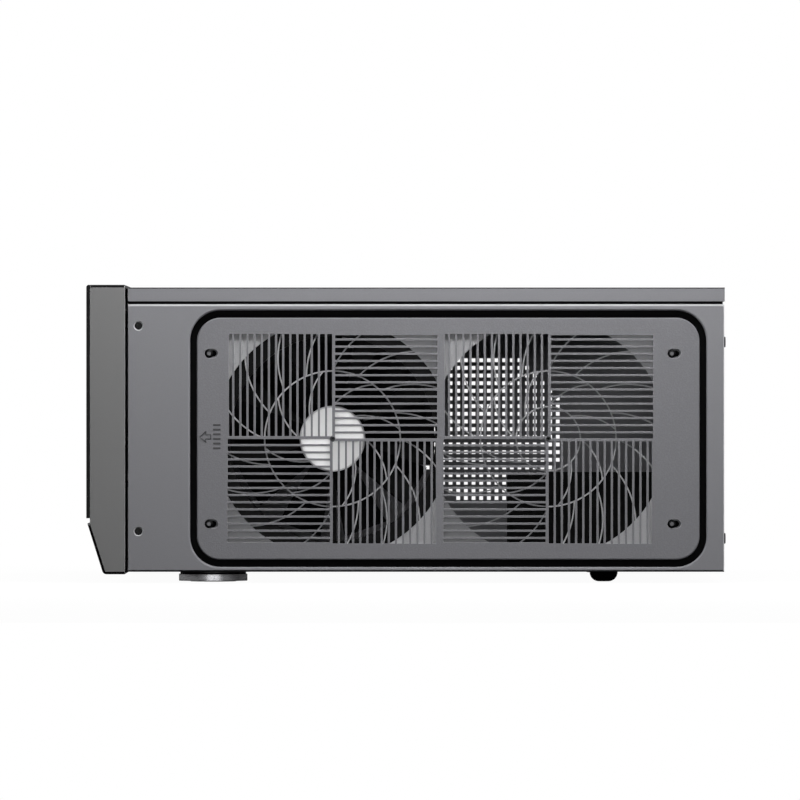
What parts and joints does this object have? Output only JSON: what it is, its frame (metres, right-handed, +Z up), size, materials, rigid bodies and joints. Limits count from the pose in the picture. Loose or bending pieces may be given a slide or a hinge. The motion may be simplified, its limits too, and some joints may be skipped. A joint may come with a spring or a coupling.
{
  "type": "desktop computer case",
  "caption": "Wide low steel desktop computer case with a stepped front moulding, a recessed slatted side grille over fan openings, drive bay, vents and round feet.",
  "frame": {"origin": "centre of the case's outline on the surface it stands on", "axes": "+X to the right seen from the front, the front faces -Y, +Z up"},
  "size_m": [0.44, 0.358, 0.167],
  "materials": {
    "grey_paint": "fine satin paint",
    "steel": "zinc-coated sheet",
    "inner_black": "satin paint",
    "stud_black": "blackened",
    "screw_steel": "plated",
    "bezel_grey": "fine satin moulding",
    "plate_black": "brushed and anodised",
    "grille_grey": "fine spark-eroded texture",
    "fan_black": "satin",
    "sticker_silver": "satin foil",
    "standoff_brass": "turned",
    "foot_rubber": "matte",
    "foot_black": "gloss",
    "foot_chrome": "bright plated",
    "button_silver": "metallised",
    "lens_clear": "clear",
    "board_green": "coated laminate",
    "part_black": "moulded"
  },
  "bodies": {
    "chassis": {"base_pan": "inner_black", "bay_cover": "bezel_grey", "board_spacers": "bezel_grey", "board_standoffs": "standoff_brass", "cross_brace": "inner_black", "drive_cage": "inner_black", "drive_lens": "lens_clear", "face_plate": "plate_black", "fan_frame": "fan_black", "fan_screws": "screw_steel", "foot_pad_left": "foot_rubber", "foot_pad_right": "foot_rubber", "foot_ring_left": "foot_chrome", "foot_ring_right": "foot_chrome", "front_backing": "bezel_grey", "front_bezel": "bezel_grey", "front_clips": "bezel_grey", "front_foot_left": "foot_black", "front_foot_right": "foot_black", "front_frame": "inner_black", "grille_studs": "stud_black", "headphone_jack": "part_black", "left_side_panel": "grey_paint", "microphone_jack": "part_black", "panel_screws": "stud_black", "port_board": "board_green", "power_lens": "lens_clear", "power_switch": "part_black", "rear_foot_left": "foot_rubber", "rear_foot_right": "foot_rubber", "rear_panel": "inner_black", "rear_rivets": "stud_black", "rear_tray": "inner_black", "reset_switch": "part_black", "right_side_panel": "grey_paint", "slot_cover_1": "steel", "slot_cover_2": "steel", "slot_cover_3": "steel", "slot_cover_4": "steel", "slot_cover_5": "steel", "slot_cover_6": "steel", "slot_cover_7": "steel", "slot_screws": "screw_steel", "supply_guide": "inner_black", "switch_board": "board_green", "usb_shell_1": "steel", "usb_shell_2": "steel", "usb_tongue_1": "part_black", "usb_tongue_2": "part_black"},
    "cover": {"top_cover": "grey_paint", "cover_screws": "screw_steel"},
    "grille": {"side_grille": "grille_grey", "guard_plate": "grille_grey"},
    "rotor": {"fan_rotor": "fan_black", "hub_sticker": "sticker_silver"},
    "power_key": {"power_button": "button_silver"},
    "reset_key": {"reset_button": "button_silver"}
  },
  "joints": [
    {"name": "cover_slide", "type": "slide", "parent": "chassis", "child": "cover", "axis": [0, 1, 0], "range_m": [0, 0.36]},
    {"name": "grille_slide", "type": "slide", "parent": "chassis", "child": "grille", "axis": [0, -1, 0], "range_m": [0, 0.0024]},
    {"name": "fan_spin", "type": "hinge", "parent": "chassis", "child": "rotor", "pos_m": [0.1977, -0.0412, 0.0808], "axis": [1, 0, 0], "continuous": true},
    {"name": "power_press", "type": "slide", "parent": "chassis", "child": "power_key", "axis": [0, 1, 0], "range_m": [0, 0.0012], "stiffness_N_per_m": 400, "springref_m": -0.003},
    {"name": "reset_press", "type": "slide", "parent": "chassis", "child": "reset_key", "axis": [0, 1, 0], "range_m": [0, 0.0012], "stiffness_N_per_m": 300, "springref_m": -0.003}
  ]
}
